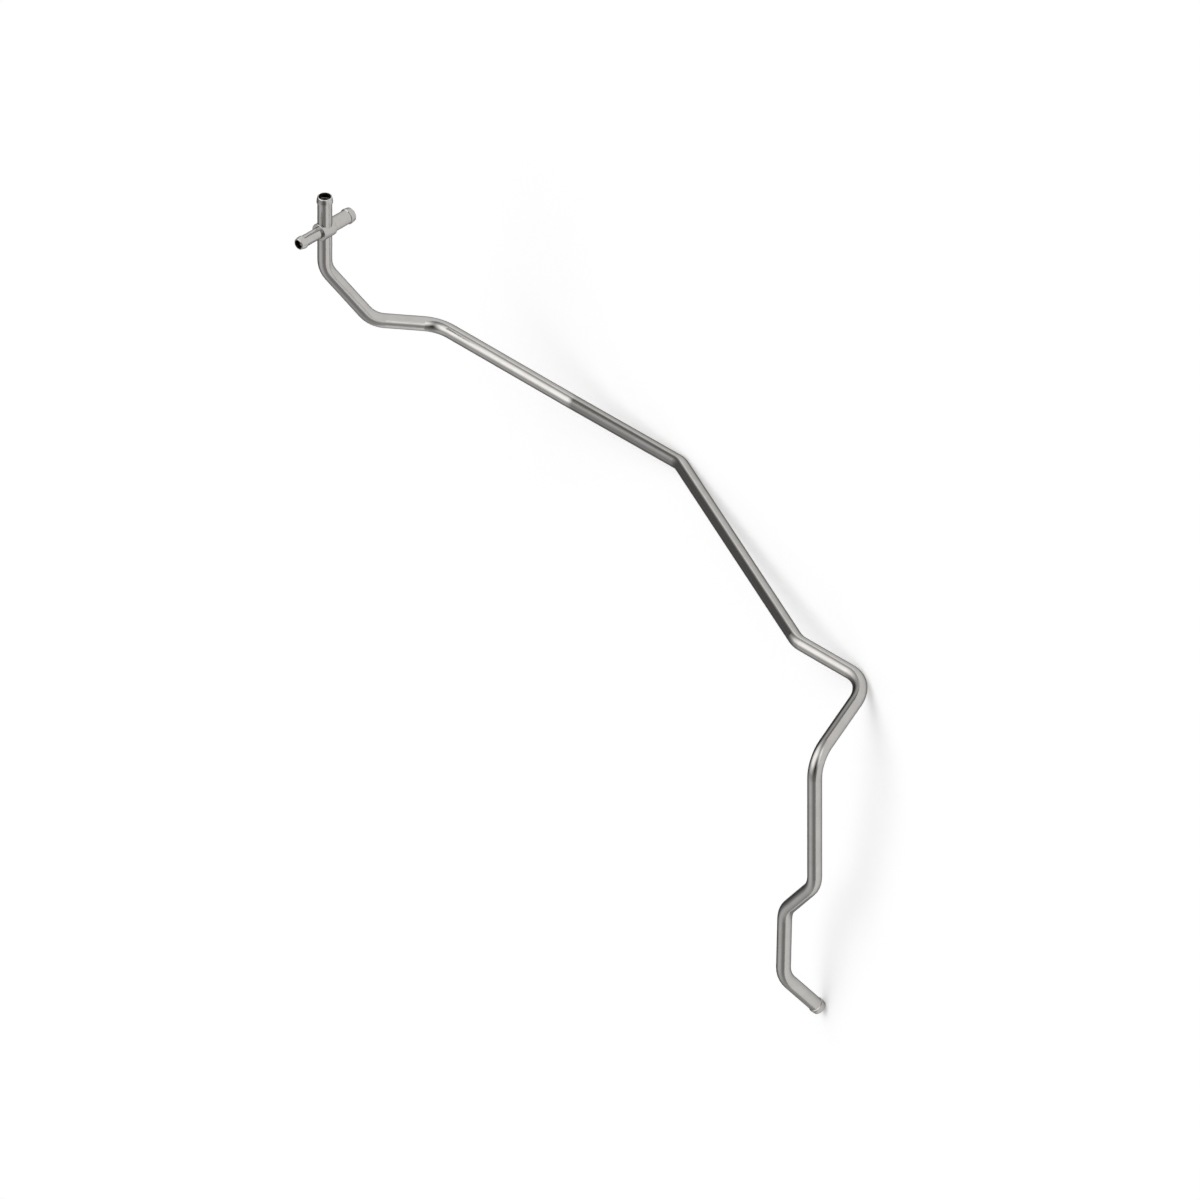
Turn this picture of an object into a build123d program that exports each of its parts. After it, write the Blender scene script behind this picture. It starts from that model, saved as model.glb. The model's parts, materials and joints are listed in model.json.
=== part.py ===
from build123d import *
import os
from math import atan2, cos, radians, sin, tan

# Oil line with a cross at its upper end, a bent steel tube that three other short runs join.
# Every size is in millimetres and every angle in degrees.

# Tube stock
main_diameter = 15.0
small_diameter = 12.0
wall = 1.0
bend_radius = 31.5

# Rolled hose bead at each open end, measured back from the mouth. Its back is a short, steep
# shoulder that holds the hose, and its nose is a long, shallow cone that lets the hose on.
bead_rise = 0.85
nose_length = 5.1
crest_length = 1.7
bead_back = 0.5
rim_round = 0.5
bead_round = 0.25
bead_lead = 2.0

# Cross hub, a short barrel that lies across the stem
hub_diameter = 18.6
hub_length = 17.4
hub_edge_round = 0.8
braze_gap = 0.05
stub_reach = 40.3
branch_reach = 37.4
branch_seat = 3.0
port_margin = 0.5

# Legs of the main tube from the hub to its lower mouth, corner to corner.
# A heading turns from the long run toward the large branch, and a fall is the angle below level.
stem_length = 47.0
slope_length = 79.5
slope_heading = 45.1
slope_fall = 53.3
turn_length = 68.5
turn_heading = 53.0
turn_fall = 10.8
long_run_length = 191.5
rising_run_length = 188.5
rising_run_heading = -10.2
rising_run_fall = -10.4
diagonal_length = 352.0
diagonal_heading = -25.5
diagonal_fall = -2.6
level_length = 100.5
drop_length = 105.5
drop_heading = -78.0
drop_fall = 20.1
post_length = 153.5
joggle_length = 66.5
joggle_fall = 50.7
tail_length = 82.0
tail_fall = 88.4
toe_length = 61.0
toe_heading = 62.8
toe_fall = 50.8

main_radius = main_diameter / 2
small_radius = small_diameter / 2
hub_radius = hub_diameter / 2
bead_length = nose_length + crest_length + bead_back
end_length = bead_length + bead_lead
crest_middle = nose_length + crest_length / 2
inner_shoulder_shift = wall * tan(atan2(bead_rise, bead_back) / 2)
branch_length = branch_reach - branch_seat - braze_gap
straight_ahead = 0.0
backward = 180.0
level = 0.0
straight_down = 90.0

# Corners of the main tube in the axes it is fitted in, from the centre of the hub.
# There x follows the long run, y follows the large branch and z follows the stub of the stem.
legs = [
    (stem_length, straight_ahead, straight_down),
    (slope_length, slope_heading, slope_fall),
    (turn_length, turn_heading, turn_fall),
    (long_run_length, straight_ahead, level),
    (rising_run_length, rising_run_heading, rising_run_fall),
    (diagonal_length, diagonal_heading, diagonal_fall),
    (level_length, straight_ahead, level),
    (drop_length, drop_heading, drop_fall),
    (post_length, straight_ahead, straight_down),
    (joggle_length, backward, joggle_fall),
    (tail_length, backward, tail_fall),
    (toe_length, toe_heading, toe_fall),
]


def leg_direction(heading, fall):
    """Unit vector of a leg from its heading and its fall."""
    return Vector(
        cos(radians(heading)) * cos(radians(fall)),
        sin(radians(heading)) * cos(radians(fall)),
        -sin(radians(fall)),
    )


hub_centre = Vector(0, 0, 0)
corners = [Vector(0, 0, stub_reach), hub_centre]
for length, heading, fall in legs:
    corners.append(corners[-1] + leg_direction(heading, fall) * length)
corners.remove(hub_centre)

# The line as discs strung along its centreline, each with a centre, an axis and a radius.
# They tell where the line touches the bench and how far it reaches.
bend_samples = 24
with BuildLine() as fitted_route:
    FilletPolyline(*corners, radius=bend_radius)


def mouth_discs(mouth, outward, tube_radius):
    """Discs at the crest of the bead and at the rim of one open end."""
    crest = (mouth - outward * crest_middle, outward, tube_radius + bead_rise)
    rim = (mouth, outward, tube_radius - rim_round)
    return [crest, rim]


bend_discs = []
for bend in fitted_route.edges().filter_by(GeomType.CIRCLE):
    for step in range(bend_samples + 1):
        place = step / bend_samples
        bend_discs.append((bend @ place, bend % place, main_radius))
stub_outward = Vector(0, 0, 1)
large_branch_outward = Vector(0, 1, 0)
small_branch_outward = -large_branch_outward
toe_outward = leg_direction(toe_heading, toe_fall)
toe_discs = mouth_discs(corners[-1], toe_outward, main_radius)
cross_discs = (
    mouth_discs(corners[0], stub_outward, main_radius)
    + mouth_discs(large_branch_outward * branch_reach, large_branch_outward, main_radius)
    + mouth_discs(small_branch_outward * branch_reach, small_branch_outward, small_radius)
)
line_discs = bend_discs + toe_discs + cross_discs


def edge_point(disc, direction):
    """Point on the rim of a disc that lies farthest along a direction."""
    centre, axis, radius = disc
    in_disc = direction - axis * direction.dot(axis)
    return centre + in_disc.normalized() * radius


def farthest(discs, direction):
    """Point of the discs that lies farthest along a direction."""
    return max((edge_point(disc, direction) for disc in discs), key=lambda point: point.dot(direction))


# The loose line lies on three places: the bend before the diagonal, the bend after the level leg
# and the bead of the lower mouth. The plane through them settles in a few rounds.
before_diagonal = corners[5]
after_level = corners[7]
settling_rounds = 6


def discs_near(corner):
    """Discs of the bend that rounds one corner."""
    return [disc for disc in bend_discs if (disc[0] - corner).length < bend_radius]


bench_up = (corners[-1] - before_diagonal).cross(after_level - before_diagonal).normalized()
for settling_round in range(settling_rounds):
    first_touch = farthest(discs_near(before_diagonal), -bench_up)
    second_touch = farthest(discs_near(after_level), -bench_up)
    third_touch = farthest(toe_discs, -bench_up)
    bench_up = (third_touch - first_touch).cross(second_touch - first_touch).normalized()

# The bench: x follows the long run as seen from above, and the origin lies on the bench
# under the middle of the line.
long_run_direction = leg_direction(straight_ahead, level)
bench_x = (long_run_direction - bench_up * long_run_direction.dot(bench_up)).normalized()
bench_y = bench_up.cross(bench_x)


def middle_along(direction):
    """Vector along a direction to the middle of the line's reach that way."""
    high = farthest(line_discs, direction).dot(direction)
    low = farthest(line_discs, -direction).dot(direction)
    return direction * ((high + low) / 2)


bench_origin = middle_along(bench_x) + middle_along(bench_y) + bench_up * first_touch.dot(bench_up)
bench = Plane(origin=bench_origin, x_dir=bench_x, z_dir=bench_up)


def laid(point):
    """Point of the fitted line in the axes of the bench."""
    return bench.to_local_coords(point)


def laid_plane(point, normal, x_dir):
    """Plane in the axes of the bench from a point and two directions of the fitted line."""
    place = laid(point)
    return Plane(origin=place, x_dir=laid(point + x_dir) - place, z_dir=laid(point + normal) - place)


# Planes of the four mouths, each with its z leaving the line, and of the hub's two bores.
side = Vector(1, 0, 0)
toe_side = toe_outward.cross(stub_outward).normalized()
stub_mouth = laid_plane(corners[0], stub_outward, side)
toe_mouth = laid_plane(corners[-1], toe_outward, toe_side)
large_mouth = laid_plane(large_branch_outward * branch_reach, large_branch_outward, side)
small_mouth = laid_plane(small_branch_outward * branch_reach, small_branch_outward, side)
stem_axis = laid_plane(hub_centre, stub_outward, side)
large_axis = laid_plane(hub_centre, large_branch_outward, side)
small_axis = laid_plane(hub_centre, small_branch_outward, side)


def add_beaded_end(mouth, tube_radius, length):
    """Turn a length of tube whose wall is rolled out into a hose bead behind its mouth.

    The wall keeps its thickness round the shoulder, so the inner shoulder lies nearer the mouth.
    """
    bore_radius = tube_radius - wall
    crest_start = -nose_length
    crest_end = crest_start - crest_length
    with BuildSketch(Plane(origin=mouth.origin, x_dir=mouth.z_dir, z_dir=mouth.x_dir)) as end_wall:
        with BuildLine():
            outside = FilletPolyline(
                (-length, tube_radius),
                (-bead_length, tube_radius),
                (crest_end, tube_radius + bead_rise),
                (crest_start, tube_radius + bead_rise),
                (-rim_round, tube_radius),
                (0, tube_radius - rim_round),
                radius=bead_round,
            )
            inside = Polyline(
                (-length, bore_radius),
                (-bead_length + inner_shoulder_shift, bore_radius),
                (crest_end + inner_shoulder_shift, bore_radius + bead_rise),
                (crest_start, bore_radius + bead_rise),
                (-rim_round, bore_radius),
                (0, bore_radius),
            )
            Line(outside @ 0, inside @ 0)
            Line(outside @ 1, inside @ 1)
        make_face()
    revolve(end_wall.sketch, axis=Axis(mouth.origin, mouth.z_dir))


def tube_section(plane, tube_radius):
    """Wall of a tube in cross section."""
    with BuildSketch(plane) as ring:
        Circle(tube_radius)
        Circle(tube_radius - wall, mode=Mode.SUBTRACT)
    return ring.sketch


def cut_bore(plane, radius, depth, both=False):
    """Cut a round hole from a plane along its z."""
    with BuildSketch(plane) as hole:
        Circle(radius)
    extrude(hole.sketch, amount=depth, both=both, mode=Mode.SUBTRACT)


# Main tube, one length bent to the route, with a port on each side where the branches join it
tube_start = laid(corners[0] - stub_outward * end_length)
tube_end = laid(corners[-1] - toe_outward * end_length)
with BuildPart() as main_tube:
    with BuildLine() as route:
        FilletPolyline(tube_start, *[laid(corner) for corner in corners[1:-1]], tube_end, radius=bend_radius)
    start_plane = Plane(origin=tube_start, x_dir=-stub_mouth.y_dir, z_dir=-stub_mouth.z_dir)
    sweep(tube_section(start_plane, main_radius), path=route.wires()[0])
    cut_bore(large_axis, main_radius - wall - port_margin, main_diameter)
    cut_bore(small_axis, small_radius - wall - port_margin, main_diameter)
    add_beaded_end(stub_mouth, main_radius, end_length)
    add_beaded_end(toe_mouth, main_radius, end_length)
main_tube.part.label = "main_tube"

# Cross hub, a barrel bored crosswise for the stem and lengthwise for the two branches
with BuildPart() as cross_hub:
    with BuildSketch(large_axis):
        Circle(hub_radius)
    extrude(amount=hub_length / 2, both=True)
    fillet(cross_hub.edges().filter_by(GeomType.CIRCLE), radius=hub_edge_round)
    cut_bore(stem_axis, main_radius + braze_gap, hub_diameter, both=True)
    cut_bore(large_axis.offset(branch_seat), main_radius + braze_gap, hub_length)
    cut_bore(small_axis.offset(branch_seat), small_radius + braze_gap, hub_length)
cross_hub.part.label = "cross_hub"


# Large branch, a straight stub on the far side of the hub, its inner end saddled to the stem
with BuildPart() as large_branch:
    add_beaded_end(large_mouth, main_radius, branch_length)
    cut_bore(stem_axis, main_radius + braze_gap, hub_diameter, both=True)
large_branch.part.label = "large_branch"

# Small branch, in line with it on the near side and saddled the same way
with BuildPart() as small_branch:
    add_beaded_end(small_mouth, small_radius, branch_length)
    cut_bore(stem_axis, main_radius + braze_gap, hub_diameter, both=True)
small_branch.part.label = "small_branch"

os.makedirs("parts", exist_ok=True)
export_step(main_tube.part, "parts/main_tube.step")
export_step(cross_hub.part, "parts/cross_hub.step")
export_step(large_branch.part, "parts/large_branch.step")
export_step(small_branch.part, "parts/small_branch.step")
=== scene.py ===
import json
import math

import bpy
from mathutils import Matrix, Vector


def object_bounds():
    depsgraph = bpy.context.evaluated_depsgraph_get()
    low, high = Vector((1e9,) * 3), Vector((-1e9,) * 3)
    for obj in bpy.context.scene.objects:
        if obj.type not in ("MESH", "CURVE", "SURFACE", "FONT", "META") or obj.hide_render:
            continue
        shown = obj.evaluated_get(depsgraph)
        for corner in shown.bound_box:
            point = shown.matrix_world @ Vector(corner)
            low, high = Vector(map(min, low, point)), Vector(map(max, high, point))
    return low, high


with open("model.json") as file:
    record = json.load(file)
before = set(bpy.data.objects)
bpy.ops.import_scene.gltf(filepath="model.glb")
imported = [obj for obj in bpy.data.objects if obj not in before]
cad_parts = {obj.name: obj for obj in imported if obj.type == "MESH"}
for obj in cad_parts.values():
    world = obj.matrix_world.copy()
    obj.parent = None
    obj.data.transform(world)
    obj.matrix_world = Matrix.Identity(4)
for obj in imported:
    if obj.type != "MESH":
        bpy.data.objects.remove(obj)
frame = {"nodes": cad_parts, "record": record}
cad_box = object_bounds()

# The oil line as it lies on the floor, in metres. The photograph looks along the diagonal of the
# line's own axes: the stem's mouth points up in it and the large branch points away.
MM = 0.001
STEM_MOUNT_FROM_HUB = 34.35 * MM
mounts = {mount["name"]: mount for mount in frame["record"]["mounts"]}
line_up = Vector(mounts["stem_mouth"]["axis"])
line_away = Vector(mounts["large_branch_mouth"]["axis"])
line_along = line_away.cross(line_up)
hub_centre = Vector(mounts["stem_mouth"]["pos_m"]) - line_up * STEM_MOUNT_FROM_HUB

# Photograph, with the pixel that the middle of the cross lies on
PHOTO_SIDE = 1200
METRES_PER_PIXEL = 0.001
HUB_PIXEL = (324.75, 229.3)
CAMERA_DISTANCE = 3.0

# Stage. The fill brings the lit floor up to white.
WHITE = (1.0, 1.0, 1.0, 1.0)
FLOOR_HALF_SIDE = 20.0
FLOOR_UP = (0.0, 0.0, 1.0)
FLOOR_COLOUR = (0.86, 0.86, 0.86, 1.0)
FLOOR_FILL = 0.32

# Studio. Bearings are in degrees, from the long run toward the large branch. Heights are the sine
# of the angle above the level of the long run. A softbox has the bearing of its middle, a half
# width, how much wider it is at the top, its light and the height of its top edge. Its sides fade
# over BOX_EDGE each way and its top over BOX_TOP_EDGE each way, and its light takes over from the
# foot's along BOX_FOOT. The steel mirrors the part of the studio above the floor, and the floor.
SOFTBOXES = [
    (6.0, 32.0, 24.0, 1.72, 0.92),
    (122.0, 17.0, 22.0, 3.15, 0.82),
    (-117.5, 32.0, 14.0, 1.77, 0.90),
]
BOX_EDGE = 26.0
BOX_TOP_EDGE = 0.24
BOX_FOOT = (-0.90, 0.70)
ROOF_LIGHT = 0.02
WHITE_LIGHT = 1.0

# Light between the softboxes and at their feet, as points of height and strength
GAP_LIGHT = [
    (-1.0, 0.58),
    (-0.6, 0.29),
    (-0.3, 0.17),
    (0.0, 0.07),
    (0.2, 0.03),
    (0.5, 0.18),
    (0.8, 0.43),
    (1.0, 0.32),
]
FOOT_LIGHT = [
    (-1.0, 0.43),
    (-0.6, 0.65),
    (-0.3, 0.02),
    (0.0, 0.02),
    (0.3, 2.0),
    (1.0, 2.0),
]

# Steel. A pair of roughnesses is for smooth and for worn places.
BRIGHT_STEEL = (0.510, 0.500, 0.488, 1.0)
DULL_STEEL = (0.460, 0.446, 0.426, 1.0)
CUT_STEEL = (0.64, 0.63, 0.62, 1.0)
# The bore's colour is painted shade: a dark colour for the inside of the tube, where it lies in shade.
BORE_SHADE_STEEL = (0.16, 0.15, 0.14, 1.0)
EDGE_TINT = (0.18, 0.18, 0.18, 1.0)
TUBE_ROUGHNESS = (0.09, 0.17)
HUB_ROUGHNESS = (0.15, 0.24)
CUT_ROUGHNESS = 0.22
BORE_ROUGHNESS = 0.45

# Wear and relief of the steel. Its wear blends soft clouds with the lines, which take LINE_SHARE
# of it. A scale is in noise cells to the metre, and for the drawn lines in cells to the tube's
# radius. A detail is the number of finer octaves, and a depth is the height of the relief.
CLOUD_SCALE = 70.0
CLOUD_DETAIL = 3.0
CLOUD_EDGE = (0.35, 0.65)
LINE_SHARE = 0.5
GRAIN_SCALE = 2600.0
GRAIN_DETAIL = 1.0
GRAIN_DEPTH = 0.005 * MM
DRAWN_SCALE = 42.0
DRAWN_DETAIL = 3.0
TURNED_SCALE = 3200.0
TURNED_DETAIL = 2.0
LINE_DEPTH = 0.014 * MM

# Mouths: the crest of each bead is the record's pin, and the cut end lies this far beyond it.
MOUTH_FROM_CREST = 5.95 * MM
BEAD_RISE = 0.85 * MM
WALL = 1.0 * MM
CUT_DEPTH = 0.25 * MM
# The bore's painted shade reaches this deep, and fades out over the deeper half.
BORE_SEEN = 40.0 * MM
TUBE_MOUTHS = {
    "main_tube": ("stem_mouth", "toe_mouth"),
    "large_branch": ("large_branch_mouth",),
    "small_branch": ("small_branch_mouth",),
}


def make_camera():
    """Parallel view at the photograph's angle, framed on the hub's place in it."""
    back = (line_along - line_away + line_up).normalized()
    right = (line_along + line_away).normalized()
    up = back.cross(right)
    to_right = (PHOTO_SIDE / 2 - HUB_PIXEL[0]) * METRES_PER_PIXEL
    to_top = (HUB_PIXEL[1] - PHOTO_SIDE / 2) * METRES_PER_PIXEL
    middle = hub_centre + right * to_right + up * to_top
    data = bpy.data.cameras.new("camera")
    data.type = "ORTHO"
    data.ortho_scale = PHOTO_SIDE * METRES_PER_PIXEL
    camera = bpy.data.objects.new("camera", data)
    turn = Matrix((right, up, back)).transposed().to_4x4()
    camera.matrix_world = Matrix.Translation(middle + back * CAMERA_DISTANCE) @ turn
    bpy.context.scene.collection.objects.link(camera)
    bpy.context.scene.camera = camera


# A Mix node keeps the sockets of every kind of value in one list, so these are their numbers.
MIX_FLOAT_FIRST = 2
MIX_FLOAT_SECOND = 3
MIX_COLOUR_FIRST = 6
MIX_COLOUR_SECOND = 7
MIX_COLOUR_RESULT = 2


class Graph:
    """Short calls for the nodes of one tree."""

    def __init__(self, tree):
        self.tree = tree
        tree.nodes.clear()

    def node(self, kind, **settings):
        made = self.tree.nodes.new(kind)
        for name, value in settings.items():
            setattr(made, name, value)
        return made

    def link(self, source, target):
        self.tree.links.new(source, target)

    def feed(self, socket, value):
        """Link a socket to another one, or set it to a plain value."""
        if isinstance(value, bpy.types.NodeSocket):
            self.link(value, socket)
        else:
            socket.default_value = value

    def math(self, operation, *values):
        made = self.node("ShaderNodeMath", operation=operation)
        for socket, value in zip(made.inputs, values):
            self.feed(socket, value)
        return made.outputs[0]

    def dot(self, vector, direction):
        made = self.node("ShaderNodeVectorMath", operation="DOT_PRODUCT")
        self.link(vector, made.inputs[0])
        made.inputs[1].default_value = direction
        return made.outputs["Value"]

    def ease(self, value, low, high):
        """Smooth rise from 0 to 1 as the value goes from low to high."""
        made = self.node("ShaderNodeMapRange", interpolation_type="SMOOTHSTEP")
        self.feed(made.inputs["Value"], value)
        self.feed(made.inputs["From Min"], low)
        self.feed(made.inputs["From Max"], high)
        return made.outputs["Result"]

    def curve(self, height, points):
        """Light at a height from -1 to 1, through a short list of (height, light) points."""
        made = self.node("ShaderNodeFloatCurve")
        line = made.mapping.curves[0]
        # The node's own range is 0 to 1, and a new point may start anywhere in it.
        while len(line.points) < len(points):
            line.points.new(0.5, 0.0)
        for point, (place, light) in zip(line.points, points):
            point.location = ((place + 1) / 2, light)
        made.mapping.use_clip = False
        made.mapping.update()
        self.link(self.math("MULTIPLY_ADD", height, 0.5, 0.5), made.inputs["Value"])
        return made.outputs[0]

    def blend(self, share, first, second):
        """Number between the first at share 0 and the second at share 1."""
        made = self.node("ShaderNodeMix", data_type="FLOAT")
        self.feed(made.inputs["Factor"], share)
        self.feed(made.inputs[MIX_FLOAT_FIRST], first)
        self.feed(made.inputs[MIX_FLOAT_SECOND], second)
        return made.outputs[0]


def add_softbox(graph, around, bearing, height, foot, softbox):
    """Lay one softbox over the light around it."""
    middle, half_width, spread, level, top = softbox
    turned = graph.math("SUBTRACT", bearing, math.radians(middle))
    aside = graph.math("ABSOLUTE", graph.math("WRAP", turned, math.pi, -math.pi))
    raised = graph.math("MAXIMUM", height, 0.0)
    reach = graph.math("MULTIPLY_ADD", raised, math.radians(spread), math.radians(half_width))
    outer = graph.math("ADD", reach, math.radians(BOX_EDGE))
    inner = graph.math("SUBTRACT", reach, math.radians(BOX_EDGE))
    risen = graph.ease(height, *BOX_FOOT)
    above = graph.ease(height, top - BOX_TOP_EDGE, top + BOX_TOP_EDGE)
    box = graph.blend(above, graph.blend(risen, foot, level), ROOF_LIGHT)
    return graph.blend(graph.ease(aside, outer, inner), around, box)


def make_studio():
    """Three tall softboxes round the line with grey falloff between them, and white below the floor."""
    world = bpy.data.worlds.new("studio")
    world.use_nodes = True
    bpy.context.scene.world = world
    graph = Graph(world.node_tree)
    direction = graph.node("ShaderNodeTexCoord").outputs["Generated"]
    height = graph.dot(direction, line_up)
    bearing = graph.math("ARCTAN2", graph.dot(direction, line_away), graph.dot(direction, line_along))
    light = graph.curve(height, GAP_LIGHT)
    foot = graph.curve(height, FOOT_LIGHT)
    for softbox in SOFTBOXES:
        light = add_softbox(graph, light, bearing, height, foot, softbox)
    below = graph.math("LESS_THAN", graph.dot(direction, FLOOR_UP), 0.0)
    background = graph.node("ShaderNodeBackground")
    background.inputs["Color"].default_value = WHITE
    graph.link(graph.blend(below, light, WHITE_LIGHT), background.inputs["Strength"])
    output = graph.node("ShaderNodeOutputWorld")
    graph.link(background.outputs[0], output.inputs["Surface"])


def make_floor():
    """Pale floor under the line, white to the camera and in the steel, that keeps its shadow."""
    mesh = bpy.data.meshes.new("floor")
    signs = ((-1, -1), (1, -1), (1, 1), (-1, 1))
    corners = [(x * FLOOR_HALF_SIDE, y * FLOOR_HALF_SIDE, cad_box[0].z) for x, y in signs]
    mesh.from_pydata(corners, [], [range(len(corners))])
    floor = bpy.data.objects.new("floor", mesh)
    bpy.context.scene.collection.objects.link(floor)
    material = bpy.data.materials.new("floor")
    material.use_nodes = True
    graph = Graph(material.node_tree)
    path = graph.node("ShaderNodeLightPath")
    mirrored = graph.math("MAXIMUM", path.outputs["Is Glossy Ray"], path.outputs["Is Transmission Ray"])
    seen = graph.math("MAXIMUM", path.outputs["Is Camera Ray"], mirrored)
    paint = graph.node("ShaderNodeBsdfDiffuse")
    paint.inputs["Color"].default_value = FLOOR_COLOUR
    fill = graph.node("ShaderNodeEmission")
    graph.link(graph.math("MULTIPLY", seen, FLOOR_FILL), fill.inputs["Strength"])
    both = graph.node("ShaderNodeAddShader")
    graph.link(paint.outputs[0], both.inputs[0])
    graph.link(fill.outputs[0], both.inputs[1])
    output = graph.node("ShaderNodeOutputMaterial")
    graph.link(both.outputs[0], output.inputs["Surface"])
    mesh.materials.append(material)


class Steel(Graph):
    """Bright drawn or turned steel, with its colour and roughness built up step by step."""

    def __init__(self, name, roughness, lines):
        self.material = bpy.data.materials.new(name)
        self.material.use_nodes = True
        super().__init__(self.material.node_tree)
        coordinates = self.node("ShaderNodeTexCoord")
        self.place = coordinates.outputs["Object"]
        self.normal = coordinates.outputs["Normal"]
        self.lines = lines(self)
        self.grain = self.noise(self.place, GRAIN_SCALE, GRAIN_DETAIL)
        cloud = self.ease(self.noise(self.place, CLOUD_SCALE, CLOUD_DETAIL), *CLOUD_EDGE)
        worn = self.blend(LINE_SHARE, cloud, self.lines)
        self.roughness = self.blend(worn, *roughness)
        self.colour = self.mix(worn, BRIGHT_STEEL, DULL_STEEL)

    def noise(self, vector, scale, detail):
        made = self.node("ShaderNodeTexNoise")
        self.link(vector, made.inputs["Vector"])
        made.inputs["Scale"].default_value = scale
        made.inputs["Detail"].default_value = detail
        return made.outputs["Fac"]

    def mix(self, share, first, second):
        """Colour between the first at share 0 and the second at share 1."""
        made = self.node("ShaderNodeMix", data_type="RGBA")
        self.feed(made.inputs["Factor"], share)
        self.feed(made.inputs[MIX_COLOUR_FIRST], first)
        self.feed(made.inputs[MIX_COLOUR_SECOND], second)
        return made.outputs[MIX_COLOUR_RESULT]

    def axial_and_radial(self, point, axis):
        """How far the surface lies along an axis from a point, and how far from that axis."""
        away = self.node("ShaderNodeVectorMath", operation="SUBTRACT")
        self.link(self.place, away.inputs[0])
        away.inputs[1].default_value = point
        length = self.node("ShaderNodeVectorMath", operation="LENGTH")
        self.link(away.outputs[0], length.inputs[0])
        axial = self.dot(away.outputs[0], axis)
        square = self.math("MULTIPLY", length.outputs["Value"], length.outputs["Value"])
        radial_square = self.math("SUBTRACT", square, self.math("MULTIPLY", axial, axial))
        radial = self.math("SQRT", self.math("MAXIMUM", radial_square, 0.0))
        return axial, radial

    def finish_mouth(self, mount):
        """A brighter cut rim at one mouth, and painted shade on the bore behind it: a dark colour where
        the inside of the tube lies in shade.
        """
        axis = Vector(mount["axis"])
        mouth = Vector(mount["pos_m"]) + axis * MOUTH_FROM_CREST
        tube_radius = mount["dims"]["r_mm"] * MM - BEAD_RISE
        axial, radial = self.axial_and_radial(mouth, axis)
        near = self.math("LESS_THAN", radial, tube_radius + WALL)
        cut = self.math("MULTIPLY", near, self.ease(axial, -CUT_DEPTH, 0.0))
        # Painted shade: inside the wall, from just behind the cut, the bore gets a dark colour for the
        # shade that falls there.
        inside = self.math("LESS_THAN", radial, tube_radius - WALL / 2)
        deep = self.ease(axial, 0.0, -CUT_DEPTH)
        seen = self.math("MULTIPLY", deep, self.ease(axial, -BORE_SEEN, -BORE_SEEN / 2))
        bore_shade = self.math("MULTIPLY", inside, seen)
        self.colour = self.mix(bore_shade, self.mix(cut, self.colour, CUT_STEEL), BORE_SHADE_STEEL)
        rim_roughness = self.blend(cut, self.roughness, CUT_ROUGHNESS)
        self.roughness = self.blend(bore_shade, rim_roughness, BORE_ROUGHNESS)

    def bump(self, height, distance, normal=None):
        made = self.node("ShaderNodeBump")
        made.inputs["Distance"].default_value = distance
        self.link(height, made.inputs["Height"])
        if normal is not None:
            self.link(normal, made.inputs["Normal"])
        return made.outputs["Normal"]

    def finish(self):
        """Join the colour, roughness and relief in one metal shader."""
        shader = self.node("ShaderNodeBsdfPrincipled")
        shader.inputs["Metallic"].default_value = 1.0
        shader.inputs["Specular Tint"].default_value = EDGE_TINT
        self.link(self.colour, shader.inputs["Base Color"])
        self.link(self.roughness, shader.inputs["Roughness"])
        relief = self.bump(self.grain, GRAIN_DEPTH, self.bump(self.lines, LINE_DEPTH))
        self.link(relief, shader.inputs["Normal"])
        output = self.node("ShaderNodeOutputMaterial")
        self.link(shader.outputs[0], output.inputs["Surface"])
        return self.material


def drawn_lines(steel):
    """Fine lines left by drawing the tube, which run along it wherever it turns."""
    return steel.noise(steel.normal, DRAWN_SCALE, DRAWN_DETAIL)


def turned_lines(steel):
    """Fine tool rings round the hub's barrel and on its two end faces."""
    axial, radial = steel.axial_and_radial(hub_centre, line_away)
    rings = steel.node("ShaderNodeTexNoise", noise_dimensions="1D")
    steel.link(steel.math("ADD", axial, radial), rings.inputs["W"])
    rings.inputs["Scale"].default_value = TURNED_SCALE
    rings.inputs["Detail"].default_value = TURNED_DETAIL
    return rings.outputs["Fac"]


def dress(node, material):
    """Give one piece its material."""
    slots = frame["nodes"][node].data.materials
    slots.clear()
    slots.append(material)


bpy.context.scene.view_settings.view_transform = "Standard"
make_camera()
make_studio()
make_floor()
for tube, mouth_names in TUBE_MOUTHS.items():
    drawn_steel = Steel(tube + "_steel", TUBE_ROUGHNESS, drawn_lines)
    for mouth_name in mouth_names:
        drawn_steel.finish_mouth(mounts[mouth_name])
    dress(tube, drawn_steel.finish())
dress("cross_hub", Steel("cross_hub_steel", HUB_ROUGHNESS, turned_lines).finish())
